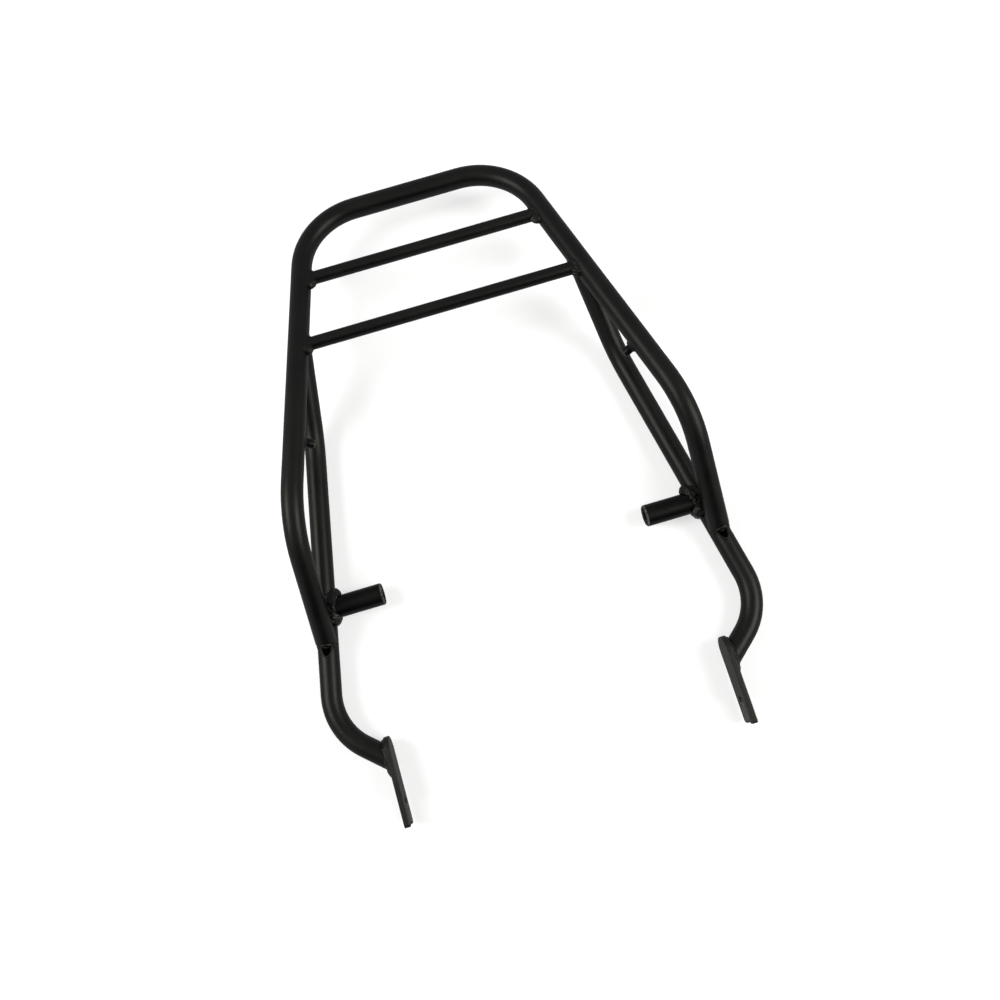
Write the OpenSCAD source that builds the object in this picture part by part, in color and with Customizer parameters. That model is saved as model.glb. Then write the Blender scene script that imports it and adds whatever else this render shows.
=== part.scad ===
// Motorcycle luggage rack, welded from bent steel tube.
// Front of the rack is -Y (open forks), rear is +Y (closed hoop), up is +Z, vehicle left is +X.
// The origin is under the middle of the rack, level with its lowest point.

/* [Tube and bar] */
// Outer diameter of the bent tubes
tube_d = 19; // [16:0.5:22]
// Wall of the bent tubes
tube_wall = 1.5; // [1:0.25:2.5]
// Diameter of the two crossbars
crossbar_d = 12; // [8:0.5:14]
// How much the tube draws in over its diameter and wall at a bend
bend_draw = 0.04; // [0.03:0.01:0.3]

/* [Hoop] */
// Width over the centre lines at the rear bar
hoop_rear_w = 203; // [180:1:230]
// Width over the centre lines at the front bends
hoop_front_w = 348; // [320:1:372]
// Rear bar to the front bends, on the centre lines
hoop_len = 292; // [270:1:310]
// Centre line radius of the two rear corners
hoop_corner_r = 64; // [45:1:72]
// Centre line radius of the two front bends
hoop_front_r = 88; // [40:1:100]
// Where the hoop legs land on the side tubes, ahead of the rear bar
leg_reach = 385; // [370:1:405]
// Open mouth at the foot: how far the leg is cut back from where the centre lines meet
leg_mouth = 4.5; // [2:0.5:8]

/* [Crossbars] */
// Rear crossbar ahead of the rear bar
rear_crossbar_y = 64; // [62:1:80]
// Front crossbar ahead of the rear bar
front_crossbar_y = 131.5; // [115:0.5:140]

/* [Side tubes] */
// Top end of the side tubes ahead of the front crossbar
side_top_gap = 7; // [4:0.5:14]
// How far the top end sits inboard of the hoop centre line
side_top_inset = 0.5; // [0:0.5:6]
// How far the centre line passes below the hoop centre line at the top end
side_top_drop = 15; // [13:0.5:18]
// Width over the centre lines at the upper bends
side_rear_w = 298; // [292:1:312]
// Upper bends ahead of the rear bar
side_rear_y = 197; // [190:1:212]
// Upper bends below the hoop
side_rear_drop = 60; // [52:1:66]
// Width over the centre lines at the lower bends
side_front_w = 394; // [384:1:408]
// Lower bends ahead of the rear bar
side_front_y = 454; // [440:1:462]
// Lower bends below the hoop
side_front_drop = 98; // [88:1:108]
// Centre line radius of the upper bends
side_top_r = 75; // [40:1:90]
// Centre line radius of the lower bends
side_front_r = 54; // [34:1:60]

/* [Spacer bosses] */
// Outer diameter of the bosses
boss_d = 20; // [18:0.5:24]
// Through bore of the bosses, clearance for an M8 bolt
boss_bore = 9; // [6:0.1:10.5]
// Free width between the two boss faces
boss_gap = 247; // [236:1:260]
// Boss axis ahead of the rear bar
boss_y = 351; // [340:1:356]
// Chamfer on the outer edge of each boss face
boss_chamfer = 1; // [0.5:0.25:2]

/* [Fork plates] */
// Free width between the two fork plates
fork_gap = 303; // [292:1:312]
// Where the side tube meets the plate, ahead of the rear bar
fork_y = 489; // [484:1:496]
// How far ahead of the centre of the plate's rounded end the side tube lands
fork_lead = 5.5; // [0:0.5:6]
// Thickness of the fork plates
fork_t = 5; // [4:0.5:7]
// Height of the fork plates
fork_h = 25; // [22:0.5:30]
// Rounded rear end to the tips of the tines
fork_len = 77; // [66:1:90]
// Width of the open slot, clearance for an M8 bolt
slot_w = 9; // [7:0.5:11]
// Depth of the open slot from the tips
slot_len = 24; // [18:0.5:32]
// Corner radius at the tips of the tines
tine_r = 3; // [1:0.5:3.5]

/* [Cord pegs] */
// Diameter of the pegs under the hoop
peg_d = 8; // [6:0.5:10]
// Free length of the pegs
peg_len = 9; // [6:0.5:14]
// Pegs ahead of the rear bar
peg_y = 220; // [205:1:235]

/* [Weld beads] */
// Radius of the bead on the bent tubes
bead_r = 3; // [2:0.25:3.5]
// Radius of the beads at the foot of the hoop legs
leg_bead_r = 2; // [1.5:0.25:3]
// Radius of the bead on the crossbars
crossbar_bead_r = 2.5; // [1.5:0.25:3]
// Radius of the bead round the bosses
boss_bead_r = 4; // [3:0.25:5]
// Radius of the bead on the fork plates
fork_bead_r = 3; // [2:0.25:3.5]
// Radius of the bead round the pegs
peg_bead_r = 1.5; // [1:0.25:2]

/* [Hidden] */

$fn = 64;
// Finer rounding where two surfaces close on a thin bead
fine = 160;
satin_black = [0.09, 0.09, 0.095];
bead_black = [0.13, 0.13, 0.135];

// How far a straight stretch laps over the drawn-in start of a bend
bend_lap = 0.5;
// Bead rings round a joint and sides of the bead's section
bead_steps = 24;
bead_sides = 7;
// How much of the bead radius its centre line stands off both joined surfaces
bead_stand_off = 0.2;
// A full turn, the size of a bead that closes on itself
full_turn = 360;
// Where the bead of the side tube's top end starts and how far it goes round the tube
top_bead_from = -20;
top_bead_span = 140;
// The same for the two beads beside the open mouth of a hoop leg
leg_bead_from = [-65, 185];
leg_bead_span = 60;

tube_r = tube_d / 2;
// A saddle cut stops this far short of the middle of the tube it lands on
foot_height = tube_r * 0.35;

function unit(v) = v / norm(v);
function dot(a, b) = a.x * b.x + a.y * b.y + a.z * b.z;
function between(a, b, s) = a + (b - a) * s;
// Point of the line a-b at a given distance ahead of the rear bar
function at_reach(a, b, reach) = between(a, b, (reach + a.y) / (a.y - b.y));
function flip(v) = [-v.x, v.y, v.z];
// Part of v that is square to the unit vector along
function across(v, along) = v - along * dot(v, along);

// Centre lines of the left half, in the hoop's plane z = 0 with the rear bar on y = 0
hoop_corner = [hoop_rear_w / 2, 0, 0];
hoop_bend = [hoop_front_w / 2, -hoop_len, 0];
hoop_along = unit(hoop_bend - hoop_corner);
side_top = at_reach(hoop_corner, hoop_bend, front_crossbar_y + side_top_gap)
    + [-side_top_inset, 0, -side_top_drop];
side_bend = [side_rear_w / 2, -side_rear_y, -side_rear_drop];
side_low = [side_front_w / 2, -side_front_y, -side_front_drop];
side_along = unit(side_low - side_bend);
top_along = unit(side_bend - side_top);
side_slope = (side_rear_drop - side_front_drop) / (side_front_y - side_rear_y);
fork_tilt = atan(-side_slope);

// Fork plates stand upright, parallel to the run of the side tubes
fork_x = fork_gap / 2;
fork_seat = [fork_x + fork_t, -fork_y, -side_front_drop + side_slope * (fork_y - side_front_y)];
fork_along = unit(fork_seat - side_low);
// Centre of the plate's rounded rear end
fork_end = [fork_x, -fork_y + fork_lead * cos(fork_tilt), fork_seat.z + fork_lead * sin(fork_tilt)];

// The side tube is cut on the plate's outer face, so it first runs this far past it
fork_overrun = tube_d / abs(fork_along.x);

leg_end = at_reach(side_bend, side_low, leg_reach);
leg_along = unit(leg_end - hoop_bend);
boss_root = at_reach(side_bend, side_low, boss_y);
peg_root = at_reach(hoop_corner, hoop_bend, peg_y);
// Pegs point inboard and down from the hoop
peg_along = unit(across([-1, 0, -0.8], hoop_along));

// Lowest point of the rack is the round lower corner of each tine tip
tip_run = fork_len - fork_h / 2 - tine_r;
tip_drop = tip_run * sin(fork_tilt) + (fork_h / 2 - tine_r) * cos(fork_tilt) + tine_r;
tip_reach = tip_run * cos(fork_tilt) + tine_r + (fork_h / 2 - tine_r) * sin(fork_tilt);
bottom = fork_end.z - tip_drop;
front = fork_end.y - tip_reach;
origin_shift = [0, -(tube_r + front) / 2, -bottom];

// Put children in the frame with origin o and axes x, y and z
module frame_at(o, x, y, z) {
    multmatrix([[x.x, y.x, z.x, o.x], [x.y, y.y, z.y, o.y], [x.z, y.z, z.z, o.z], [0, 0, 0, 1]])
        children();
}

// Put children at o with their Z axis along the unit vector along
module aim(o, along) {
    side = abs(along.x) > 0.9 ? [0, 0, 1] : [1, 0, 0];
    x = unit(across(side, along));
    frame_at(o, x, cross(along, x), along) children();
}

// Solid rod from a to b
module rod(a, b, d) {
    aim(a, unit(b - a)) cylinder(h = norm(b - a), d = d);
}

module tube_section(draw = 0, solid = false) {
    difference() {
        circle(d = tube_d - (solid ? 0 : draw));
        if (!solid) circle(d = tube_d - 2 * tube_wall + draw);
    }
}

function turn(u, w) = acos(dot(u, w));
function bend_run(u, w, r) = r * tan(turn(u, w) / 2);
function leg_dir(path, i) = unit(path[i + 1] - path[i]);
function run_at(path, radii, i) = i == 0 || i == len(path) - 1
    ? 0 : bend_run(leg_dir(path, i - 1), leg_dir(path, i), radii[i - 1]);

// Tube bent along the corner points in path, with one centre line radius for each inner corner.
// solid: the same without its bore, for cutting what touches the tube.
module bent_tube(path, radii, solid = false) {
    last = len(path) - 1;
    for (i = [0 : last - 1]) {
        u = leg_dir(path, i);
        from = i == 0 ? 0 : run_at(path, radii, i) - bend_lap;
        to = norm(path[i + 1] - path[i]) - (i == last - 1 ? 0 : run_at(path, radii, i + 1) - bend_lap);
        aim(path[i] + u * from, u) linear_extrude(height = to - from) tube_section(solid = solid);
    }
    for (i = [1 : last - 1]) {
        u = leg_dir(path, i - 1);
        w = leg_dir(path, i);
        r = radii[i - 1];
        n = unit(across(w, u));
        centre = path[i] - u * bend_run(u, w, r) + n * r;
        frame_at(centre, -n, u, cross(-n, u))
            rotate_extrude(angle = turn(u, w), $fn = 128) translate([r, 0])
                tube_section(bend_draw, solid, $fn = 64);
    }
}

// Block on the far side of the plane through p whose outward direction is n
module beyond(p, n, reach) {
    aim(p, n) translate([-reach, -reach, 0]) cube([2 * reach, 2 * reach, reach]);
}

// Straight stretches used to cope the ends that land on them
module hoop_side_rod() { rod(hoop_corner, hoop_bend, tube_d); }
module side_tube_rod() { rod(side_bend, side_low, tube_d); }
module side_top_rod() { rod(side_top - top_along * tube_d * 2, side_bend, tube_d); }
// Everything above the level cut that ends the side tube under the hoop
module above_side_top() { beyond([side_top.x, side_top.y, -foot_height], [0, 0, 1], 3 * tube_d); }
module hoop_leg_rod() { rod(leg_end + leg_along * tube_d, hoop_bend, tube_d); }

// Distance along a from p to the cylinder of radius r round the line m, on the side that a points to
function to_cylinder(p, a, on, m, r) =
    let (q = across(p - on, m), v = across(a, m),
        qa = dot(v, v), qb = dot(q, v), qc = dot(q, q) - r * r)
    (-qb + sqrt(max(0, qb * qb - qa * qc))) / qa;

// Weld bead round a branch of diameter d that leaves the surface along a.
// flat: the surface is the plane square to X through on; otherwise a cylinder round the line m.
module bead(o, a, d, on, m, r, flat = false, from = 0, span = full_turn) {
    side = abs(a.x) > 0.9 ? [0, 0, 1] : [1, 0, 0];
    e1 = unit(across(side, a));
    e2 = cross(a, e1);
    off = bead_stand_off * r;
    closed = span == full_turn;
    rings = [for (k = [0 : bead_steps - (closed ? 1 : 0)])
        let (phi = from + span * k / bead_steps,
            e = e1 * cos(phi) + e2 * sin(phi),
            p = o + e * (d / 2 + off),
            t = flat ? (on.x - p.x) / a.x + off : to_cylinder(p, a, on, m, tube_r + off),
            c = p + a * t)
        for (j = [0 : bead_sides - 1])
            let (psi = 360 * j / bead_sides)
            c + e * r * cos(psi) + a * r * sin(psi)];
    n = len(rings) / bead_sides;
    faces = [for (k = [0 : n - (closed ? 1 : 2)], j = [0 : bead_sides - 1])
        let (k2 = (k + 1) % n, j2 = (j + 1) % bead_sides,
            p00 = k * bead_sides + j, p01 = k * bead_sides + j2,
            p10 = k2 * bead_sides + j, p11 = k2 * bead_sides + j2)
        each [[p00, p10, p11], [p00, p11, p01]]];
    caps = closed ? [] : [[for (j = [0 : bead_sides - 1]) j],
        [for (j = [bead_sides - 1 : -1 : 0]) (n - 1) * bead_sides + j]];
    polyhedron(rings, concat(faces, caps), convexity = 6);
}

// One bent tube: rear bar, sides and the two legs that land on the side tubes
module hoop_tube() {
    legs = leg_along * tube_d;
    path = [leg_end + legs, hoop_bend, hoop_corner, flip(hoop_corner), flip(hoop_bend), flip(leg_end + legs)];
    color(satin_black) difference() {
        bent_tube(path, [hoop_front_r, hoop_corner_r, hoop_corner_r, hoop_front_r]);
        leg_cope();
        mirror([1, 0, 0]) leg_cope();
    }
}

// Saddle cut at the foot of a hoop leg, which ends just above the middle of the side tube
module leg_cope() {
    up = unit(across([0, 0, 1], side_along));
    side_tube_rod();
    beyond(leg_end + up * foot_height, -up, 3 * tube_d);
    leg_front();
}

// Everything ahead of the square cut that leaves the mouth open
module leg_front() { beyond(leg_end - side_along * leg_mouth, side_along, 3 * tube_d); }

module crossbar(reach) {
    end = at_reach(hoop_corner, hoop_bend, reach);
    color(satin_black) difference() {
        rod(flip(end), end, crossbar_d);
        hoop_side_rod();
        mirror([1, 0, 0]) hoop_side_rod();
    }
}

// Outer end of the plate's face: the tube and its bead are cut there
module inside_fork() { beyond(fork_seat, [-1, 0, 0], 2 * fork_overrun + tube_d); }

// Side tube before its ends are cut: under the hoop, down and forward, then in to the fork plate
module side_tube_run(solid = false) {
    path = [side_top - top_along * tube_d * 1.5, side_bend, side_low, fork_seat + fork_along * fork_overrun];
    bent_tube(path, [side_top_r, side_front_r], solid);
}

module side_tube() {
    front_bar = at_reach(hoop_corner, hoop_bend, front_crossbar_y);
    color(satin_black) difference() {
        side_tube_run();
        above_side_top();
        inside_fork();
        hoop_side_rod();
        rod(flip(front_bar), front_bar, crossbar_d);
        rod(boss_root - [tube_d, 0, 0], boss_root + [tube_d, 0, 0], boss_bore);
    }
}

// Turned spacer that stands off the side tube towards the vehicle
module spacer_boss() {
    length = boss_root.x - boss_gap / 2 - foot_height;
    color(satin_black) difference() {
        translate([boss_gap / 2, boss_root.y, boss_root.z]) rotate([0, 90, 0]) difference() {
            rotate_extrude() polygon([[0, 0], [boss_d / 2 - boss_chamfer, 0], [boss_d / 2, boss_chamfer],
                [boss_d / 2, length], [0, length]]);
            translate([0, 0, -1]) cylinder(h = length + 2, d = boss_bore);
        }
        side_tube_rod();
    }
}

// Flat fork: rounded rear end, two tines and the open slot between them
module fork_outline() {
    difference() {
        union() {
            circle(d = fork_h);
            translate([0, -fork_h / 2]) square([tip_run, fork_h]);
            for (s = [-1, 1]) translate([tip_run, s * (fork_h / 2 - tine_r)]) circle(r = tine_r);
            translate([tip_run, -fork_h / 2 + tine_r]) square([tine_r, fork_h - 2 * tine_r]);
        }
        translate([tip_run + tine_r - slot_len + slot_w / 2, 0]) circle(d = slot_w);
        translate([tip_run + tine_r - slot_len + slot_w / 2, -slot_w / 2]) square([slot_len, slot_w]);
    }
}

module fork_plate() {
    color(satin_black) translate(fork_end) rotate([fork_tilt, 0, 0])
        frame_at([0, 0, 0], [0, -1, 0], [0, 0, -1], [1, 0, 0])
        linear_extrude(height = fork_t) fork_outline();
}

// Short round peg for a luggage cord, on the inboard and lower side of the hoop
module cord_peg() {
    color(satin_black) difference() {
        rod(peg_root, peg_root + peg_along * (tube_r + peg_len), peg_d);
        hoop_side_rod();
    }
}

module crossbar_weld(reach) {
    $fn = fine;
    end = at_reach(hoop_corner, hoop_bend, reach);
    color(bead_black) difference() {
        bead(end, [-1, 0, 0], crossbar_d, hoop_corner, hoop_along, crossbar_bead_r);
        rod(flip(end), end, crossbar_d);
        hoop_side_rod();
        difference() {
            side_top_rod();
            above_side_top();
        }
    }
}

// Bead along the outboard and front sides of the side tube's top end
module side_tube_weld() {
    $fn = fine;
    color(bead_black) difference() {
        bead(side_top, top_along, tube_d, hoop_corner, hoop_along, bead_r,
            from = top_bead_from, span = top_bead_span);
        side_top_rod();
        hoop_side_rod();
    }
}

// Two short beads, one on each side of the open mouth at the foot of the hoop leg
module hoop_leg_weld() {
    $fn = fine;
    cut_end = leg_end - side_along * leg_mouth;
    color(bead_black) difference() {
        for (from = leg_bead_from)
            bead(cut_end, -leg_along, tube_d, side_bend, side_along, leg_bead_r,
                from = from, span = leg_bead_span);
        difference() {
            hoop_leg_rod();
            leg_front();
        }
        side_tube_run(solid = true);
    }
}

module boss_weld() {
    $fn = fine;
    color(bead_black) difference() {
        bead(boss_root, [-1, 0, 0], boss_d, side_bend, side_along, boss_bead_r);
        rod(boss_root, [boss_gap / 2, boss_root.y, boss_root.z], boss_d);
        side_tube_rod();
        hoop_leg_rod();
    }
}

module fork_weld() {
    $fn = fine;
    color(bead_black) difference() {
        bead(fork_seat, -fork_along, tube_d, fork_seat, [1, 0, 0], fork_bead_r, flat = true);
        rod(fork_seat + fork_along * fork_overrun, side_low, tube_d);
        inside_fork();
    }
}

module peg_weld() {
    $fn = fine;
    color(bead_black) difference() {
        bead(peg_root, peg_along, peg_d, hoop_corner, hoop_along, peg_bead_r);
        rod(peg_root, peg_root + peg_along * (tube_r + peg_len), peg_d);
        hoop_side_rod();
    }
}

module left() { translate(origin_shift) children(); }
module right() { translate(origin_shift) mirror([1, 0, 0]) children(); }

left() hoop_tube();
left() crossbar(rear_crossbar_y);  // rear_crossbar
left() crossbar(front_crossbar_y);  // front_crossbar
left() side_tube();  // left_side_tube
right() side_tube();  // right_side_tube
left() spacer_boss();  // left_spacer_boss
right() spacer_boss();  // right_spacer_boss
left() fork_plate();  // left_fork_plate
right() fork_plate();  // right_fork_plate
left() cord_peg();  // left_cord_peg
right() cord_peg();  // right_cord_peg
left() crossbar_weld(rear_crossbar_y);  // left_rear_crossbar_weld
right() crossbar_weld(rear_crossbar_y);  // right_rear_crossbar_weld
left() crossbar_weld(front_crossbar_y);  // left_front_crossbar_weld
right() crossbar_weld(front_crossbar_y);  // right_front_crossbar_weld
left() side_tube_weld();  // left_side_tube_weld
right() side_tube_weld();  // right_side_tube_weld
left() hoop_leg_weld();  // left_hoop_leg_weld
right() hoop_leg_weld();  // right_hoop_leg_weld
left() boss_weld();  // left_boss_weld
right() boss_weld();  // right_boss_weld
left() fork_weld();  // left_fork_weld
right() fork_weld();  // right_fork_weld
left() peg_weld();  // left_peg_weld
right() peg_weld();  // right_peg_weld
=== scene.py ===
import math
import bpy
import bmesh
from mathutils import Matrix, Vector, noise


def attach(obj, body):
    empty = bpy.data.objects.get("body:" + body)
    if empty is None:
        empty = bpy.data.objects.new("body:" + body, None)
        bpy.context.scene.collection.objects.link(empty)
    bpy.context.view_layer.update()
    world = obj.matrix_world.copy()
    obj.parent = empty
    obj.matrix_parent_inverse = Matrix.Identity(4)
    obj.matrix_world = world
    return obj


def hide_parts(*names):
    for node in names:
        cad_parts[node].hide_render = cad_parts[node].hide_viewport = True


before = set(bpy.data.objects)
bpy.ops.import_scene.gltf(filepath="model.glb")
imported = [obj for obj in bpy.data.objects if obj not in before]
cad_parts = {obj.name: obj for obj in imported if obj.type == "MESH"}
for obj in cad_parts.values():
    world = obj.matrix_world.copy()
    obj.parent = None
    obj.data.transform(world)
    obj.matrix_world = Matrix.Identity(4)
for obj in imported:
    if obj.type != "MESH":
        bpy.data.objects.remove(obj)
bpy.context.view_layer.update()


# The photo table
# The rack lies on a plain white table. It rests on the lower edges of the two fork plates and on
# the undersides of the two upper bends, so its level hoop slopes against the table.

# The rear bar's axis and the hoop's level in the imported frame, in mm. The table is in metres.
REAR_BAR_Y, HOOP_Z = 269.644, 123.764
TABLE_HALF = 5.0
TABLE_SLOPE = math.radians(9.0)


def at(x, ahead, drop):
    """Point in mm: x to the vehicle's left, distance ahead of the rear bar, drop below the hoop."""
    return Vector((x, REAR_BAR_Y - ahead, HOOP_Z - drop))


table_up = Vector((0, -math.sin(TABLE_SLOPE), math.cos(TABLE_SLOPE)))
table_rise = min(table_up.dot(v.co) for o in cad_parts.values() for v in o.data.vertices)
corners = [(x * TABLE_HALF, y * TABLE_HALF, 0) for x, y in ((-1, -1), (1, -1), (1, 1), (-1, 1))]
table_mesh = bpy.data.meshes.new("table")
table_mesh.from_pydata(corners, [], [(0, 1, 2, 3)])
table = bpy.data.objects.new("table", table_mesh)
bpy.context.collection.objects.link(table)
table.matrix_world = Matrix.Translation(table_up * table_rise) @ Matrix.Rotation(TABLE_SLOPE, 4, "X")


def feed(tree, socket, value):
    """Sets a socket to a number, or links it from another socket."""
    if isinstance(value, (int, float)):
        socket.default_value = value
    else:
        tree.links.new(value, socket)


def calc(tree, kind, a, b):
    """A Math node. a and b are numbers or sockets."""
    step = tree.nodes.new("ShaderNodeMath")
    step.operation = kind
    feed(tree, step.inputs[0], a)
    feed(tree, step.inputs[1], b)
    return step.outputs[0]


def eased(tree, value, low, high, to_low, to_high):
    """Eases from to_low to to_high while value goes from low to high."""
    ramp = tree.nodes.new("ShaderNodeMapRange")
    ramp.interpolation_type = "SMOOTHSTEP"
    tree.links.new(value, ramp.inputs["Value"])
    for label, number in (("From Min", low), ("From Max", high), ("To Min", to_low), ("To Max", to_high)):
        ramp.inputs[label].default_value = number
    return ramp.outputs[0]


def white_light(tree, kind, strength):
    """An Emission or a Background node in white, where a strength of 1 is white to the camera."""
    light = tree.nodes.new(kind)
    light.inputs["Color"].default_value = (1, 1, 1, 1)
    feed(tree, light.inputs["Strength"], strength)
    return light.outputs[0]


def either(tree, share, first, second):
    """The first shader where share is 0 and the second where it is 1."""
    mix = tree.nodes.new("ShaderNodeMixShader")
    for socket, source in zip(mix.inputs, (share, first, second)):
        tree.links.new(source, socket)
    return mix.outputs[0]


# The camera sees the shadows near the rack and plain white far off. The coat sees a dim table.
TABLE_COLOUR = (0.86, 0.86, 0.86, 1)
NEAR, FAR = 0.45, 1.1
LIFT_NEAR, LIFT_FAR = 0.62, 1.0
TABLE_IN_COAT = 0.30

table_white = bpy.data.materials.new("table white")
table_white.use_nodes = True
tree = table_white.node_tree
tree.nodes.clear()
path = tree.nodes.new("ShaderNodeLightPath")
geometry = tree.nodes.new("ShaderNodeNewGeometry")
off_centre = tree.nodes.new("ShaderNodeVectorMath")
off_centre.operation = "LENGTH"
tree.links.new(geometry.outputs["Position"], off_centre.inputs[0])
whiter = eased(tree, off_centre.outputs["Value"], NEAR, FAR, LIFT_NEAR, LIFT_FAR)
lift = calc(tree, "MULTIPLY", path.outputs["Is Camera Ray"], whiter)
matt = tree.nodes.new("ShaderNodeBsdfDiffuse")
matt.inputs["Color"].default_value = TABLE_COLOUR
lifted = either(tree, lift, matt.outputs[0], white_light(tree, "ShaderNodeEmission", 1.0))
dimmed = white_light(tree, "ShaderNodeEmission", TABLE_IN_COAT)
face_up = either(tree, path.outputs["Is Glossy Ray"], lifted, dimmed)
clear = tree.nodes.new("ShaderNodeBsdfTransparent")
one_sided = either(tree, geometry.outputs["Backfacing"], face_up, clear.outputs[0])
surface = tree.nodes.new("ShaderNodeOutputMaterial")
tree.links.new(one_sided, surface.inputs["Surface"])
table_mesh.materials.append(table_white)

# The room lights the rack evenly and is white to the camera. The coat sees it dim, and darker
# still beyond the fork end, where the camera stands.
ROOM_LIGHT, ROOM_IN_COAT = 0.34, 0.24
DARKEST_Y, DIM_Y = -0.95, -0.62

room = bpy.data.worlds.new("studio")
bpy.context.scene.world = room
room.use_nodes = True
tree = room.node_tree
tree.nodes.clear()
path = tree.nodes.new("ShaderNodeLightPath")
toward = tree.nodes.new("ShaderNodeTexCoord")
split = tree.nodes.new("ShaderNodeSeparateXYZ")
tree.links.new(toward.outputs["Generated"], split.inputs[0])
dim = eased(tree, split.outputs["Y"], DARKEST_Y, DIM_Y, 0.0, ROOM_IN_COAT)
plain = white_light(tree, "ShaderNodeBackground", ROOM_LIGHT)
dimmed = white_light(tree, "ShaderNodeBackground", dim)
lighting = either(tree, path.outputs["Is Glossy Ray"], plain, dimmed)
white = white_light(tree, "ShaderNodeBackground", 1.0)
seen = either(tree, path.outputs["Is Camera Ray"], lighting, white)
surface = tree.nodes.new("ShaderNodeOutputWorld")
tree.links.new(seen, surface.inputs["Surface"])


# Camera and lamps
# The photograph is taken standing at the fork end, looking steeply down. Two soft boxes stand
# to the left and the right of the table and throw two faint shadows.

# The camera's place, in metres, and the ways to its right and ahead, fitted to the photograph.
camera_place = Vector((-0.03541, -0.2875, 0.76061))
camera_right = Vector((0.959071, -0.271517, -0.080379))
camera_ahead = Vector((0.016508, 0.336987, -0.941365))
camera_above = camera_right.cross(camera_ahead)
camera_turn = Matrix((camera_right, camera_above, -camera_ahead)).transposed()

camera_data = bpy.data.cameras.new("camera")
camera_data.sensor_width = 36.0
camera_data.lens = 29.644
camera_data.shift_x = 0.02515
camera_data.shift_y = 0.01079
camera = bpy.data.objects.new("camera", camera_data)
bpy.context.collection.objects.link(camera)
camera.matrix_world = Matrix.Translation(camera_place) @ camera_turn.to_4x4()
bpy.context.scene.camera = camera
bpy.context.scene.view_settings.view_transform = "Standard"

LAMP_OFF, LAMP_UP = 1.15, 1.05
KEY_SIZE, SHEET_SIZE = (0.55, 0.9), (0.9, 0.8)
SHEET_COLOUR = (1.0, 1.0, 0.86)
LIT_AHEAD, LIT_DROP = 250, 60
lit_point = at(0, LIT_AHEAD, LIT_DROP) / 1000
photo_right = (camera_right - table_up * camera_right.dot(table_up)).normalized()
photo_far = table_up.cross(photo_right)


def soft_box(name, sideways, far, size, power, colour=None):
    """A soft box turned to the rack. Without a colour it throws a shadow but doesn't show in the coat."""
    place = lit_point + photo_right * sideways + photo_far * far + table_up * LAMP_UP
    turn = (lit_point - place).to_track_quat("-Z", "Y").to_matrix().to_4x4()
    lamp_data = bpy.data.lights.new(name, "AREA")
    lamp_data.shape = "RECTANGLE"
    lamp_data.size, lamp_data.size_y = size
    lamp_data.energy = power
    lamp_data.color = colour or (1, 1, 1)
    lamp = bpy.data.objects.new(name, lamp_data)
    bpy.context.collection.objects.link(lamp)
    lamp.matrix_world = Matrix.Translation(place) @ turn
    lamp.visible_glossy = colour is not None


soft_box("left key", -LAMP_OFF, far=-0.10, size=KEY_SIZE, power=24)
soft_box("right key", LAMP_OFF, far=0.05, size=KEY_SIZE, power=20)
soft_box("left sheet", -LAMP_OFF, far=-0.18, size=SHEET_SIZE, power=5.5, colour=SHEET_COLOUR)
soft_box("right sheet", LAMP_OFF, far=-0.18, size=SHEET_SIZE, power=5.5, colour=SHEET_COLOUR)


# Hoop tube
# One length of 19 mm steel tube, bent cold at four places: rear bar, two sides and two legs. The
# whole rack is powder coated satin black after welding, which leaves a fine orange peel skin.

def shader_group(name, takes, gives):
    """A node group with its named sockets, and its input and output nodes."""
    group = bpy.data.node_groups.new(name, "ShaderNodeTree")
    for way, rows in (("INPUT", takes), ("OUTPUT", gives)):
        for label, kind in rows:
            group.interface.new_socket(label, in_out=way, socket_type="NodeSocket" + kind)
    return group, group.nodes.new("NodeGroupInput"), group.nodes.new("NodeGroupOutput")


def cloud(tree, scale, detail, rough=0.5):
    """Noise over the piece. scale is in lumps to the metre."""
    place = tree.nodes.new("ShaderNodeTexCoord")
    lumps = tree.nodes.new("ShaderNodeTexNoise")
    lumps.inputs["Scale"].default_value = scale
    lumps.inputs["Detail"].default_value = detail
    lumps.inputs["Roughness"].default_value = rough
    tree.links.new(place.outputs["Object"], lumps.inputs["Vector"])
    return lumps.outputs["Fac"]


def swing(tree, lumps, reach):
    """Noise brought to lie evenly round zero, times its reach."""
    return calc(tree, "MULTIPLY", calc(tree, "SUBTRACT", lumps, 0.5), reach)


def tinted(tree, share, plain, other):
    """The plain colour where share is 0 and the other where it is 1."""
    tint = tree.nodes.new("ShaderNodeMix")
    tint.data_type = "RGBA"
    for label, source in (("Factor", share), ("A", plain), ("B", other)):
        tree.links.new(source, tint.inputs[label])
    return tint.outputs["Result"]


coat_skin, given, made = shader_group(
    "coat skin",
    takes=(("Base", "Color"), ("Haze", "Color"), ("Gloss", "Float")),
    gives=(("Color", "Color"), ("Roughness", "Float"), ("Height", "Float")))

# The peel is about 1.6 mm across, its grain 0.4 mm and its waves 10 mm. The dull patches are some
# 45 mm across and the specks of dust under 1 mm.
peel = cloud(coat_skin, scale=620, detail=2)
grain = cloud(coat_skin, scale=2600, detail=1)
wave = cloud(coat_skin, scale=95, detail=3)
mottle = cloud(coat_skin, scale=22, detail=5, rough=0.65)
specks = cloud(coat_skin, scale=1150, detail=0)

height = calc(coat_skin, "MULTIPLY", peel, 0.6)
height = calc(coat_skin, "ADD", height, calc(coat_skin, "MULTIPLY", grain, 0.22))
height = calc(coat_skin, "ADD", height, calc(coat_skin, "MULTIPLY", wave, 1.1))
coat_skin.links.new(height, made.inputs["Height"])

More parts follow.
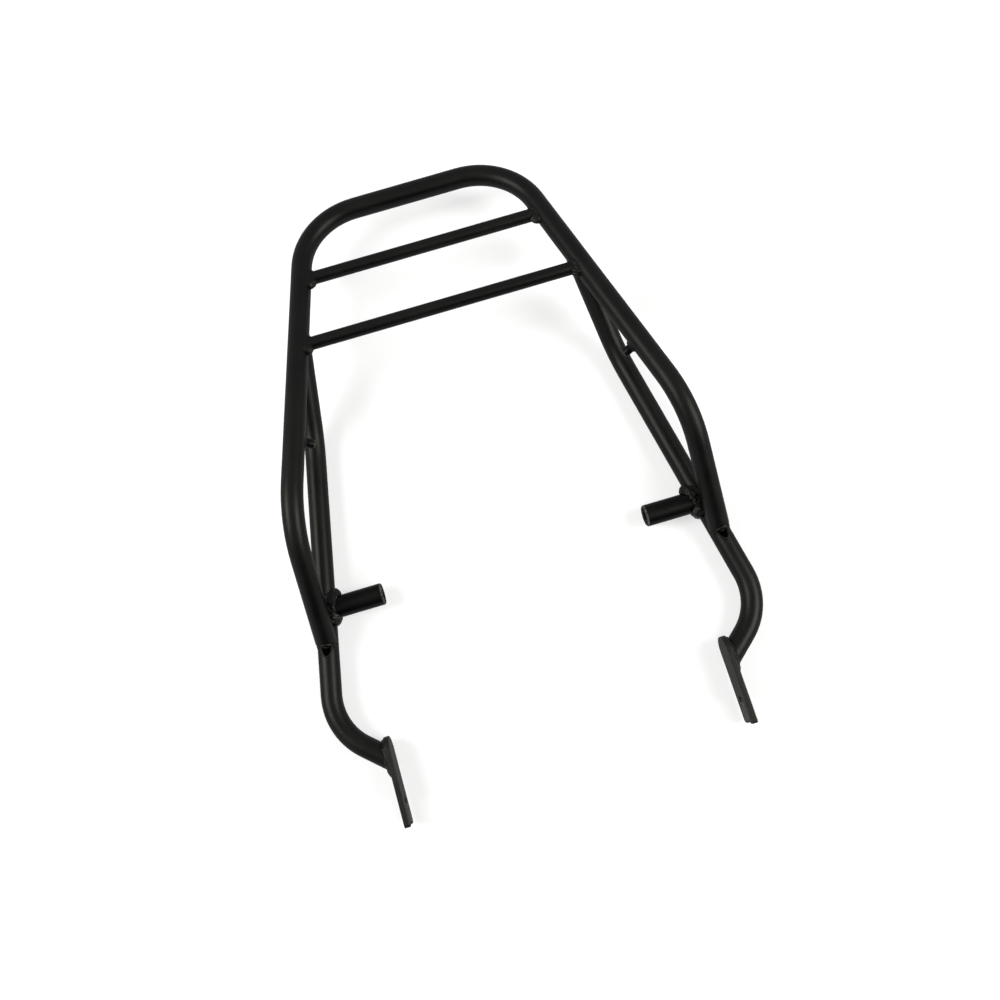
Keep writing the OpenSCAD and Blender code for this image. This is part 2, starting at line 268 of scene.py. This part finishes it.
patches = eased(coat_skin, mottle, 0.38, 0.72, 0.0, 0.55)
dust = eased(coat_skin, specks, 0.74, 0.80, 0.0, 0.35)
haze = calc(coat_skin, "ADD", patches, dust)
hazed = tinted(coat_skin, haze, given.outputs["Base"], given.outputs["Haze"])
coat_skin.links.new(hazed, made.inputs["Color"])

rough = calc(coat_skin, "ADD", given.outputs["Gloss"], swing(coat_skin, mottle, 0.22))
rough = calc(coat_skin, "ADD", rough, swing(coat_skin, grain, 0.10))
coat_skin.links.new(rough, made.inputs["Roughness"])


def coated(name, base, haze, gloss, peel_depth, shine=0.5):
    """Powder coat over steel. peel_depth is in metres, and haze is the colour of the dull patches."""
    finish = bpy.data.materials.new(name)
    finish.use_nodes = True
    tree = finish.node_tree
    paint = tree.nodes["Principled BSDF"]
    paint.inputs["Specular IOR Level"].default_value = shine
    skin = tree.nodes.new("ShaderNodeGroup")
    skin.node_tree = coat_skin
    skin.inputs["Base"].default_value = (*base, 1)
    skin.inputs["Haze"].default_value = (*haze, 1)
    skin.inputs["Gloss"].default_value = gloss
    bump = tree.nodes.new("ShaderNodeBump")
    bump.inputs["Distance"].default_value = peel_depth
    bump.inputs["Strength"].default_value = 0.7
    tree.links.new(skin.outputs["Color"], paint.inputs["Base Color"])
    tree.links.new(skin.outputs["Roughness"], paint.inputs["Roughness"])
    tree.links.new(skin.outputs["Height"], bump.inputs["Height"])
    tree.links.new(bump.outputs["Normal"], paint.inputs["Normal"])
    return finish


def paint_node(node, finish):
    """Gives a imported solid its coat."""
    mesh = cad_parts[node].data
    mesh.materials.clear()
    mesh.materials.append(finish)


tube_coat = coated("tube powder coat", base=(0.0005, 0.0005, 0.0005), haze=(0.0030, 0.0030, 0.0027),
                   gloss=0.38, peel_depth=0.00016)
paint_node("hoop_tube", tube_coat)


# Crossbars
# Two lengths of 12 mm round bar, coped to the hoop's sides and welded between them. The packed
# solids have the right shape, so they only take the same coat.

for node in ("rear_crossbar", "front_crossbar"):
    paint_node(node, tube_coat)


# Side tubes
# One bent 19 mm tube on each side. Its top end is coped under the hoop beside the front crossbar,
# it runs down and forward, and it turns in to the fork plate.

for node in ("left_side_tube", "right_side_tube"):
    paint_node(node, tube_coat)

TUBE_R = 9.5
UPPER_X, UPPER_AHEAD, UPPER_DROP = 149.0, 197.0, 60.0
LOWER_X, LOWER_AHEAD, LOWER_DROP = 197.0, 454.0, 98.0
upper_bend = at(UPPER_X, UPPER_AHEAD, UPPER_DROP)
lower_bend = at(LOWER_X, LOWER_AHEAD, LOWER_DROP)
side_run = (lower_bend - upper_bend).normalized()


def on_side_run(ahead):
    """Point of the left side tube's long run at that distance ahead of the rear bar."""
    return upper_bend + (lower_bend - upper_bend) * (ahead - UPPER_AHEAD) / (LOWER_AHEAD - UPPER_AHEAD)


# Spacer bosses
# Turned from 20 mm bar, drilled through for an M8 bolt and welded square to the vehicle on the
# inner side of each side tube. The turned rim lets the coat wear thin, so it is a little paler.

BOSS_R, BOSS_BORE_R, BOSS_CHAMFER = 10.0, 4.5, 1.0
BOSS_FACE_X, BOSS_AHEAD = 123.5, 351.0
TURNED_LEN, RING_STEP, COPE_SINK, SLANT = 4.0, 4, 0.3, 1.02
FACE_IN, FACE_OUT, WEAR_END = 0.5, 1.4, 1.9
PLAIN, MACHINED = 0, -1
boss_root = on_side_run(BOSS_AHEAD)
boss_len = boss_root.x - BOSS_FACE_X

edge_rub, given, made = shader_group(
    "edge rub",
    takes=(("Wear", "Float"), ("Color", "Color"), ("Worn", "Color"), ("Roughness", "Float")),
    gives=(("Color", "Color"), ("Roughness", "Float")))

# The coat rubs through where the mesh's wear and the coat's own flaws together pass about 0.6. A
# machined face, which has wear below 0, only shows duller.
flaws = swing(edge_rub, cloud(edge_rub, scale=330, detail=4, rough=0.7), 1.5)
broken = calc(edge_rub, "ADD", given.outputs["Wear"], flaws)
rubbed = eased(edge_rub, broken, 0.62, 1.05, 0.0, 1.0)
worn_colour = tinted(edge_rub, rubbed, given.outputs["Color"], given.outputs["Worn"])
edge_rub.links.new(worn_colour, made.inputs["Color"])

machined = calc(edge_rub, "MAXIMUM", calc(edge_rub, "MULTIPLY", given.outputs["Wear"], -1.0), 0.0)
rough = calc(edge_rub, "ADD", given.outputs["Roughness"], calc(edge_rub, "MULTIPLY", machined, 0.45))
rough = calc(edge_rub, "SUBTRACT", rough, calc(edge_rub, "MULTIPLY", rubbed, 0.08))
edge_rub.links.new(rough, made.inputs["Roughness"])


def with_rubbed_edges(finish, worn):
    """Lays the edge rub over a coated finish, where the mesh says that an edge is."""
    tree = finish.node_tree
    paint = tree.nodes["Principled BSDF"]
    rub = tree.nodes.new("ShaderNodeGroup")
    rub.node_tree = edge_rub
    rub.inputs["Worn"].default_value = (*worn, 1)
    wear = tree.nodes.new("ShaderNodeAttribute")
    wear.attribute_name = "wear"
    tree.links.new(wear.outputs["Fac"], rub.inputs["Wear"])
    for label, socket in (("Color", "Base Color"), ("Roughness", "Roughness")):
        source = paint.inputs[socket].links[0].from_socket
        tree.links.new(source, rub.inputs[label])
        tree.links.new(rub.outputs[label], paint.inputs[socket])
    return finish


CAP_CORNERS = 12


def piece(name, points, faces, finish, stands_for, wear=None):
    """A new piece from points in mm and faces. A cap with over CAP_CORNERS corners is shaded flat.

    wear is one number for each point: -1 on a machined face, 0 on plain coat and more on an edge.
    """
    mesh = bpy.data.meshes.new(name)
    mesh.from_pydata([Vector(p) / 1000 for p in points], [], faces)
    mesh.update()
    solid = bmesh.new()
    solid.from_mesh(mesh)
    bmesh.ops.recalc_face_normals(solid, faces=solid.faces)
    solid.to_mesh(mesh)
    solid.free()
    mesh.shade_smooth()
    for face in mesh.polygons:
        if len(face.vertices) > CAP_CORNERS:
            face.use_smooth = False
    if wear is not None:
        mesh.attributes.new("wear", "FLOAT", "POINT").data.foreach_set("value", wear)
    mesh.materials.append(finish)
    made_piece = bpy.data.objects.new(name, mesh)
    bpy.context.collection.objects.link(made_piece)
    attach(made_piece, "root")
    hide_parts(stands_for)


def pair(name, points, faces, finish, stands_for, wear=None):
    """The left piece from its points, and its mirrored twin on the right."""
    mirrored = [(-x, y, z) for x, y, z in points]
    piece("left_" + name, points, faces, finish, "left_" + stands_for, wear)
    piece("right_" + name, mirrored, faces, finish, "right_" + stands_for, wear)


def walls(rings, count, start=0, loop=False):
    """Faces between rings of count points each. A loop joins the last ring to the first."""
    faces = []
    for i in range(rings if loop else rings - 1):
        a, b = start + i * count, start + (i + 1) % rings * count
        faces += [(a + k, a + (k + 1) % count, b + (k + 1) % count, b + k) for k in range(count)]
    return faces


def capped(rings, count, start=0):
    """The walls between rings, with a cap on the first ring and on the last."""
    last = start + (rings - 1) * count
    caps = [tuple(range(start, start + count)), tuple(range(last, last + count))]
    return walls(rings, count, start) + caps


def lathe(outline, steps, place_at, through):
    """Points, faces and wear of a turned body. through says that it has a hole through it.

    outline is (length along, radius, wear), and place_at(length along, radius, turn) gives a point.
    """
    points, wear = [], []
    for along, radius, worn in outline:
        points += [place_at(along, radius, 2 * math.pi * k / steps) for k in range(steps)]
        wear += [worn] * steps
    faces = walls(len(outline), steps, loop=True) if through else capped(len(outline), steps)
    return points, faces, wear


def rounded(corner, before, after, radius, worn, steps=5):
    """Outline points of a rounded corner between the points before and after it."""
    corner, before, after = Vector(corner), Vector(before), Vector(after)
    start = corner + (before - corner).normalized() * radius
    stop = corner + (after - corner).normalized() * radius
    out = []
    for k in range(steps + 1):
        t = k / steps
        p = start * (1 - t) ** 2 + corner * 2 * t * (1 - t) + stop * t * t
        out.append((p.x, p.y, worn))
    return out


def boss_outline(length):
    """From the bore's far end, round the turned face, to the far end of the outside."""
    bore_in, bore = (2.0, BOSS_BORE_R), (0, BOSS_BORE_R)
    rim, skirt, far_end = (0, BOSS_R - BOSS_CHAMFER), (BOSS_CHAMFER, BOSS_R), (length, BOSS_R)
    outline = [(length, BOSS_BORE_R, PLAIN), (*bore_in, PLAIN)]
    outline += rounded(bore, bore_in, rim, radius=0.45, worn=0.75)
    outline += [(0, BOSS_BORE_R + FACE_IN, MACHINED), (0, BOSS_R - FACE_OUT, MACHINED)]
    outline += rounded(rim, bore, skirt, radius=0.35, worn=0.9)
    outline += rounded(skirt, rim, far_end, radius=0.4, worn=0.9)
    outline += [(WEAR_END, BOSS_R, PLAIN), (TURNED_LEN, BOSS_R, PLAIN)]
    outline += [(x, BOSS_R, PLAIN) for x in range(2 * RING_STEP, int(length) - RING_STEP, RING_STEP)]
    return outline + [(*far_end, PLAIN)]


def boss_point(along, radius, turn):
    """A point of the left boss. Past its turned end, its rings spread to the cope in the side tube.

    The cope ends just inside the tube's skin. The tube slants, so along x it is wider by SLANT.
    """
    y, z = boss_root.y + radius * math.cos(turn), boss_root.z + radius * math.sin(turn)
    tube = upper_bend + side_run * ((y - upper_bend.y) / side_run.y)
    reach = tube.x - math.sqrt(max(0.0, (TUBE_R - COPE_SINK) ** 2 - (z - tube.z) ** 2)) * SLANT
    if along > TURNED_LEN:
        spread = (reach - BOSS_FACE_X - TURNED_LEN) / (boss_len - TURNED_LEN)
        along = TURNED_LEN + (along - TURNED_LEN) * spread
    return (BOSS_FACE_X + along, y, z)


boss_coat = coated("boss powder coat", base=(0.0004, 0.0004, 0.0004), haze=(0.0022, 0.0022, 0.0020),
                   gloss=0.38, peel_depth=0.00014, shine=0.34)
turned_coat = with_rubbed_edges(boss_coat, worn=(0.060, 0.058, 0.052))
points, faces, wear = lathe(boss_outline(boss_len), steps=72, place_at=boss_point, through=True)
pair("boss", points, faces, turned_coat, "spacer_boss", wear)


# Fork plates
# Cut from 5 mm plate: a rounded rear end under the side tube and an open slot between two tines,
# which slides over a half-driven bolt. The coat is thin on the cut edges and rubbed in the slot.

FORK_T, FORK_H, FORK_LEN = 5.0, 25.0, 77.0
SLOT_W, SLOT_LEN = 9.0, 24.0
TINE_R, LIP_R = 3.0, 0.8
FORK_FACE_X, FORK_AHEAD, SEAT_TO_CENTRE = 151.5, 489.0, 5.5
fork_tilt = math.atan((LOWER_DROP - UPPER_DROP) / (LOWER_AHEAD - UPPER_AHEAD))
fork_back, fork_rise = math.cos(fork_tilt), math.sin(fork_tilt)
fork_seat = on_side_run(FORK_AHEAD)
fork_seat.x = FORK_FACE_X + FORK_T
fork_centre = fork_seat + Vector((-FORK_T, SEAT_TO_CENTRE * fork_back, SEAT_TO_CENTRE * fork_rise))


def arc(middle, radius, start, stop, steps):
    """Points of an arc round its middle, from start to stop in degrees."""
    turns = [math.radians(start + (stop - start) * k / steps) for k in range(steps + 1)]
    return [(middle[0] + radius * math.cos(turn), middle[1] + radius * math.sin(turn)) for turn in turns]


# The edge of the plate, once round, as (ahead, up) from the middle of its rounded end.
tip = FORK_LEN - FORK_H / 2
slot_root = tip - SLOT_LEN + SLOT_W / 2
slot_wall = [tip - 3, tip - 9, slot_root + 6, slot_root + 2]
edge = arc((0, 0), FORK_H / 2, 90, 270, 36)
edge += arc((tip - TINE_R, -FORK_H / 2 + TINE_R), TINE_R, 270, 360, 8)
edge += arc((tip - LIP_R, -SLOT_W / 2 - LIP_R), LIP_R, 0, 90, 3)
edge += [(ahead, -SLOT_W / 2) for ahead in slot_wall]
edge += arc((slot_root, 0), SLOT_W / 2, 270, 90, 20)
edge += [(ahead, SLOT_W / 2) for ahead in reversed(slot_wall)]
edge += arc((tip - LIP_R, SLOT_W / 2 + LIP_R), LIP_R, 270, 360, 3)
edge += arc((tip - TINE_R, FORK_H / 2 - TINE_R), TINE_R, 0, 90, 8)


def inset(outline, depth):
    """The outline moved inwards by depth, along the mean normal at each of its points."""
    out = []
    for i, (x, y) in enumerate(outline):
        before_x, before_y = outline[i - 1]
        after_x, after_y = outline[(i + 1) % len(outline)]
        a = Vector((x - before_x, y - before_y)).normalized()
        b = Vector((after_x - x, after_y - y)).normalized()
        side = Vector((-a.y - b.y, a.x + b.x)).normalized()
        out.append((x + side.x * depth, y + side.y * depth))
    return out


def plate_point(ahead, up, outward):
    """A point of the left plate: ahead of its rounded end, up across it and out from its inner face."""
    y = fork_centre.y - ahead * fork_back - up * fork_rise
    z = fork_centre.z - ahead * fork_rise + up * fork_back
    return (FORK_FACE_X + outward, y, z)


# Rings over half the thickness: inset, height over the face, wear. The other half mirrors them.
SOFT, LAND, SLOT_WEAR = 0.55, 1.6, 1.3
half_rings = [(SOFT, 0, 0.3), (SOFT * 0.45, SOFT * 0.12, 0.75), (SOFT * 0.12, SOFT * 0.45, 0.8),
              (0, SOFT, 0.5), (0, LAND, 0.1)]
rings = half_rings + [(depth, FORK_T - height, worn) for depth, height, worn in reversed(half_rings)]
points, wear = [], []
for depth, height, worn in rings:
    for (ahead, up), (edge_ahead, edge_up) in zip(inset(edge, depth), edge):
        points.append(plate_point(ahead, up, height))
        in_slot = abs(edge_up) < SLOT_W / 2 + 0.2 and slot_root + 1 < edge_ahead < tip - 1.5
        wear.append(SLOT_WEAR if in_slot else worn)
cut_coat = coated("plate powder coat", base=(0.0050, 0.0050, 0.0043), haze=(0.0120, 0.0120, 0.0104),
                  gloss=0.44, peel_depth=0.00018)
plate_coat = with_rubbed_edges(cut_coat, worn=(0.036, 0.036, 0.032))
pair("plate", points, capped(len(rings), len(edge)), plate_coat, "fork_plate", wear)


# Cord pegs
# Two short pegs of 8 mm round bar, with the edge of the free end rounded off. They are welded to
# the hoop sides, stand in and down from them, and keep a luggage cord from sliding.

HOOP_LEN, HOOP_CORNER_X, HOOP_BEND_X = 292.0, 101.5, 174.0
PEG_R, PEG_LEN, PEG_AHEAD = 4.0, 9.0, 220.0
PEG_SINK, PEG_ROUND = 2.5, 0.9
peg_way = Vector((-1, 0, -0.8))
hoop_corner, hoop_bend = at(HOOP_CORNER_X, 0, 0), at(HOOP_BEND_X, HOOP_LEN, 0)
hoop_run = (hoop_bend - hoop_corner).normalized()


def on_hoop_run(ahead):
    """Point of the hoop's left side at that distance ahead of the rear bar."""
    return hoop_corner + (hoop_bend - hoop_corner) * ahead / HOOP_LEN


def across(v, along):
    """The share of v that is square to along."""
    return v - along * v.dot(along)


peg_root = on_hoop_run(PEG_AHEAD)
peg_axis = across(peg_way, hoop_run).normalized()
peg_side = across(Vector((0, 0, 1)), peg_axis).normalized()
peg_front = peg_axis.cross(peg_side)
peg_top = TUBE_R + PEG_LEN


def peg_point(along, radius, turn):
    """A point of the left peg, from the axis of the hoop's side."""
    spoke = (peg_side * math.cos(turn) + peg_front * math.sin(turn)) * radius
    return tuple(peg_root + peg_axis * along + spoke)


outline = [(TUBE_R - PEG_SINK, PEG_R, 0), (peg_top - 3.0, PEG_R, 0), (peg_top - 1.4, PEG_R, 0.2)]
outline += rounded((peg_top, PEG_R), (0, PEG_R), (peg_top, 0), PEG_ROUND, worn=0.9)
outline += [(peg_top, 2.2, 0.2), (peg_top, 0.01, 0.1)]
points, faces, wear = lathe(outline, steps=48, place_at=peg_point, through=False)
pair("peg", points, faces, turned_coat, "cord_peg", wear)


# Welds of the crossbars
# Short hand-laid beads round each bar end, heaviest on the forward side where the welder started
# and stopped. The coat rounds the ripples off but does not hide them.

REAR_BAR_AHEAD, FRONT_BAR_AHEAD, BAR_R = 64.0, 131.5, 6.0
TOE_SINK, ROOT_SINK = 0.15, 0.8
# A bead varies by slow lumps along it, by a ripple at each pitch and by small knobs, as shares of
# its size. An open bead is thinner over a share of its length at each end.
LUMPS, RIPPLE, KNOBS = 0.34, 0.32, 0.42
LUMP_LEN, LUMPS_ROUND, KNOB_PITCHES = 5.5, 2.2, 0.68
END_LEN, END_THIN = 0.14, 0.35
weld_coat = coated("weld powder coat", base=(0.0008, 0.0008, 0.0007), haze=(0.0040, 0.0040, 0.0036),
                   gloss=0.37, peel_depth=0.00022)


def onto_host(p, along, host, climb):
    """The point p moved along the branch to where it meets the skin of its host."""
    if not isinstance(host, tuple):
        return p + along * (host - p.x) / along.x
    middle, direction, radius = host
    off, lean = across(p - middle, direction), across(along, direction)
    a, b, c = lean.dot(lean), off.dot(lean), off.dot(off) - radius ** 2
    lowest = (1 - climb ** 2) * radius ** 2 * a
    return p + along * (-b + math.sqrt(max(lowest, b * b - a * c))) / a


def corner_line(origin, along, branch_r, host, turns, count, climb):
    """Stations round the corner between a round branch and its host.

    Each holds its root in the corner and four ways from there: off the branch, off the host, up
    the branch and out over the host.
    """
    start, stop = turns
    closed = stop - start == 360
    lean = Vector((0, 0, 1)) if abs(along.x) > 0.9 else Vector((1, 0, 0))
    first_way = across(lean, along).normalized()
    second_way = along.cross(first_way)
    ways = []
    for k in range(count if closed else count + 1):
        turn = math.radians(start + (stop - start) * k / count)
        ways.append(first_way * math.cos(turn) + second_way * math.sin(turn))
    roots = [onto_host(origin + way * branch_r, along, host, climb) for way in ways]
    last = len(roots) - 1
    tangents = []
    for k in range(len(roots)):
        before = k - 1 if closed else max(0, k - 1)
        after = (k + 1) % len(roots) if closed else min(last, k + 1)
        tangents.append((roots[after] - roots[before]).normalized())
    if isinstance(host, tuple):
        skins = [across(root - host[0], host[1]).normalized() for root in roots]
    else:
        skins = [Vector((math.copysign(1, along.x), 0, 0))] * len(roots)
    ups = [way.cross(tangent) for way, tangent in zip(ways, tangents)]
    outs = [skin.cross(tangent) for skin, tangent in zip(skins, tangents)]
    if sum(up.dot(along) for up in ups) < 0:
        ups = [-up for up in ups]
    plainest = max(range(len(roots)), key=lambda k: abs(outs[k].dot(ways[k])))
    if outs[plainest].dot(ways[plainest]) < 0:
        outs = [-out for out in outs]
    return list(zip(roots, ways, skins, ups, outs))


def bead(origin, along, branch_r, host, legs, crown, pitch, seed,
         turns=(0, 360), heavy=None, sides=9, climb=1.0):
    """Points and faces of a rippled weld bead in the corner between a round branch and its host.

    host is (point, direction, radius) of a tube, or the x of a flat face. legs are the reach up the
    branch and out on the host, and crown is how far the bead swells. heavy is (direction, gain)
    where the bead is thicker. climb is how far round the host the root goes, as a share of its
    radius.
    """
    closed = turns[1] - turns[0] == 360
    count = max(24, int(branch_r * math.radians(turns[1] - turns[0]) / (pitch / 8)))
    line = corner_line(origin, along, branch_r, host, turns, count, climb)
    last = len(line) - 1
    points, run = [], 0.0
    for k, (root, way, skin, up, out) in enumerate(line):
        if k:
            run += (root - line[k - 1][0]).length
        if closed:
            turn = 2 * math.pi * k / len(line)
            lump = noise.noise(Vector((math.cos(turn) * LUMPS_ROUND, math.sin(turn) * LUMPS_ROUND, seed)))
        else:
            lump = noise.noise(Vector((run / LUMP_LEN, seed, 0.3)))
        grow = 1.0 + LUMPS * lump
        if heavy:
            grow *= 1.0 + heavy[1] * max(0.0, way.dot(heavy[0])) ** 5
        if not closed:
            grow *= END_THIN + (1 - END_THIN) * min(1.0, min(k, last - k) / (len(line) * END_LEN)) ** 0.6

        toe_up = root + up * legs[0] * grow
        spoke = across(toe_up - origin, along)
        toe_up += spoke.normalized() * (branch_r - TOE_SINK - spoke.length)
        toe_out = root + out * legs[1] * grow
        if isinstance(host, tuple):
            spoke = across(toe_out - host[0], host[1])
            toe_out += spoke.normalized() * (host[2] - TOE_SINK - spoke.length)
        else:
            toe_out.x = host - math.copysign(TOE_SINK, along.x)

        swell = (way + skin).normalized()
        for j in range(sides + 1):
            u = j / sides
            chord = toe_up * (1 - u) + toe_out * u
            hump = 4 * u * (1 - u)
            beat = abs(math.sin(math.pi * (run / pitch + 0.55 * (2 * u - 1) ** 2)))
            knob = noise.noise(chord / (KNOB_PITCHES * pitch) + Vector((seed, 0, 0)))
            relief = RIPPLE * (beat ** 0.8 - 0.6) + KNOBS * knob
            points.append(tuple(chord + swell * (crown * grow * (hump ** 0.6 + relief * hump ** 0.5))))
        points.append(tuple(root - swell * ROOT_SINK))
    ring = sides + 2
    return points, walls(len(line), ring, loop=True) if closed else capped(len(line), ring)


def weld(name, points, faces, node):
    """The left bead and its mirrored twin, in the weld's own coat."""
    pair(name, points, faces, weld_coat, node)


hoop_side = (hoop_corner, hoop_run, TUBE_R)
forward = Vector((0, -0.96, 0.28))
for name, ahead, gain in (("rear_crossbar", REAR_BAR_AHEAD, 1.9), ("front_crossbar", FRONT_BAR_AHEAD, 1.5)):
    points, faces = bead(on_hoop_run(ahead), Vector((-1, 0, 0)), BAR_R, hoop_side, legs=(2.2, 2.3),
                         crown=0.66, pitch=2.5, seed=ahead, heavy=(forward, gain), sides=14)
    weld(name + "_bead", points, faces, name + "_weld")


# Welds under the hoop
# The coped top end of each side tube is welded to the underside of the hoop. The bead runs along
# its outer flank and across the front crotch, and thins out at both ends.

SIDE_TOP_AHEAD, SIDE_TOP_IN, SIDE_TOP_DROP = 138.5, 0.5, 15.0
side_top = on_hoop_run(SIDE_TOP_AHEAD) + Vector((-SIDE_TOP_IN, 0, -SIDE_TOP_DROP))
top_run = (upper_bend - side_top).normalized()
points, faces = bead(side_top, top_run, TUBE_R, hoop_side, legs=(3.6, 3.2), crown=0.8, pitch=2.2,
                     seed=4.0, turns=(-20, 120))
weld("side_tube_bead", points, faces, "side_tube_weld")


# Welds of the pegs
# A small ring of weld holds each peg on the inner side of the hoop. Its bead is the thinnest on the
# rack, with fine ripples that the coat has almost filled.

points, faces = bead(peg_root, peg_axis, PEG_R, hoop_side, legs=(1.7, 1.8), crown=0.4, pitch=1.6, seed=9.0)
weld("peg_bead", points, faces, "peg_weld")


# Welds of the bosses
# The largest beads of the rack: a full lumpy collar where each boss meets the side tube. The boss
# is wider than the tube, so the collar climbs only part of the way round it.

side_tube = (upper_bend, side_run, TUBE_R)
points, faces = bead(boss_root, Vector((-1, 0, 0)), BOSS_R, side_tube, legs=(5.4, 7.0), crown=1.7,
                     pitch=3.1, seed=2.0, sides=14, climb=0.8)
weld("boss_bead", points, faces, "boss_weld")


# Welds at the feet of the hoop legs
# Each leg stops short on the side tube and leaves a mouth under its upper wall. A short bead
# closes each side, the coat has rounded the lip, and a low rim of weld runs round the well ahead.
# The shade inside the mouth and the well is painted shade: a black patch on the side tube.

LEG_FOOT_AHEAD, MOUTH, SIDE_SWEEP = 385.0, 4.5, 62
foot = on_side_run(LEG_FOOT_AHEAD)
leg_run = (foot - hoop_bend).normalized()
cut = foot - side_run * MOUTH
points, faces = [], []
for start, seed in ((-66, 5.0), (184, 6.0)):
    side_points, side_faces = bead(cut, -leg_run, TUBE_R, side_tube, legs=(2.3, 2.5), crown=0.55,
                                   pitch=1.8, seed=seed, turns=(start, start + SIDE_SWEEP))
    faces += [tuple(i + len(points) for i in face) for face in side_faces]
    points += side_points

ROUND_SIDES = 10


def round_of_weld(middle, out_way, out_r, up_way, up_r):
    """Points round a thin run of weld."""
    turns = [2 * math.pi * j / ROUND_SIDES for j in range(ROUND_SIDES)]
    return [tuple(middle + out_way * math.cos(t) * out_r + up_way * math.sin(t) * up_r) for t in turns]


# The lip follows the upper wall of the cut leg over LIP_SWEEP degrees, and thins out at its ends.
LIP_STEPS, LIP_START, LIP_SWEEP = 40, 22, 136
WALL_MIDDLE, LIP_AHEAD, LIP_THICK, LIP_STRETCH = 0.75, 1.5, 1.1, 1.6
lip_side = across(Vector((1, 0, 0)), leg_run).normalized()
lip_over = leg_run.cross(lip_side)
if lip_over.z < 0:
    lip_over = -lip_over
faces += capped(LIP_STEPS + 1, ROUND_SIDES, len(points))
for k in range(LIP_STEPS + 1):
    turn = math.radians(LIP_START + LIP_SWEEP * k / LIP_STEPS)
    out_way = lip_side * math.cos(turn) + lip_over * math.sin(turn)
    wall = foot + out_way * (TUBE_R - WALL_MIDDLE)
    wall += leg_run * ((cut - wall).dot(side_run) / leg_run.dot(side_run))
    wall += leg_run * LIP_AHEAD
    thick = LIP_THICK + 0.15 * noise.noise(Vector((k / 5, 1.7, 0)))
    thick *= 0.4 + 0.6 * min(1, min(k, LIP_STEPS - k) / 4)
    points += round_of_weld(wall, out_way, thick, leg_run, thick * LIP_STRETCH)

# The rim is a loop that is open under the lip, drawn over the crown of the side tube. RIM_SQUARE
# under 1 fills out its corners, and RIM_NARROW draws its far end in.
RIM_STEPS, RIM_START, RIM_LEN, RIM_HALF = 44, 1.0, 10.2, 5.2
RIM_SQUARE, RIM_NARROW, RIM_UP, RIM_THICK = 0.85, 0.22, 0.25, 1.05
WELL_AHEAD, WELL_OUT = 5.4, 1.4
well_over = across(-leg_run, side_run).normalized()
well_side = side_run.cross(well_over)


def on_crown(ahead, out, up):
    """The point ahead of the leg's cut, out round the side tube and up from its skin."""
    angle = out / TUBE_R
    spoke = (well_over * math.cos(angle) + well_side * math.sin(angle)) * (TUBE_R + up)
    return cut + side_run * ahead + spoke


rim = []
for k in range(RIM_STEPS + 1):
    turn = math.pi * k / RIM_STEPS
    ahead = RIM_START + RIM_LEN * math.sin(turn) ** RIM_SQUARE
    rim.append((ahead, WELL_OUT + RIM_HALF * math.cos(turn) * (1 - RIM_NARROW * math.sin(turn))))
faces += capped(RIM_STEPS + 1, ROUND_SIDES, len(points))
for k, (ahead, out) in enumerate(rim):
    before, after = rim[max(0, k - 1)], rim[min(RIM_STEPS, k + 1)]
    run = (on_crown(*after, 0) - on_crown(*before, 0)).normalized()
    middle = on_crown(ahead, out, RIM_UP)
    up_way = (middle - on_crown(ahead, out, -1)).normalized()
    thick = RIM_THICK + 0.35 * noise.noise(Vector((k / 4, 3.1, 0)))
    points += round_of_weld(middle, run.cross(up_way), thick, up_way, thick)
weld("leg_bead", points, faces, "hoop_leg_weld")

# The floor of the well is a thin patch inside the rim, coloured black with almost no shine. It is
# painted shade, standing for the deep shade inside the leg's mouth.
UNDER, FLOOR = -0.5, 0.16
rows = ((1.0, UNDER), (1.0, FLOOR), (0.7, FLOOR), (0.35, FLOOR))
points = []
for share, up in rows:
    for ahead, out in rim:
        shrunk = WELL_AHEAD + (ahead - WELL_AHEAD) * share, WELL_OUT + (out - WELL_OUT) * share
        points.append(tuple(on_crown(*shrunk, up)))
faces = walls(len(rows), len(rim))
for first, up in ((0, UNDER), (len(points) - len(rim), FLOOR)):
    points.append(tuple(on_crown(WELL_AHEAD, WELL_OUT, up)))
    faces += [(first + k, first + (k + 1) % len(rim), len(points) - 1) for k in range(len(rim))]
# Painted shade: black with almost no shine, so the patch renders dark under any lamp.
painted_shade_well = coated("painted shade well", base=(0.0, 0.0, 0.0), haze=(0.0, 0.0, 0.0), gloss=0.8,
                   peel_depth=0.00008, shine=0.04)
pair("leg_well_painted_shade", points, faces, painted_shade_well, "hoop_leg_weld")


# Welds of the fork plates
# A bead round the slanted end of each side tube, laid on the outer face of the fork plate. It is
# thickest on the forward side, where it runs out to a long taper.

points, faces = bead(fork_seat, -(fork_seat - lower_bend).normalized(), TUBE_R, FORK_FACE_X + FORK_T,
                     legs=(3.4, 3.6), crown=0.8, pitch=2.3, seed=3.0, heavy=(Vector((0, -1, 0)), 1.5))
weld("fork_bead", points, faces, "fork_weld")
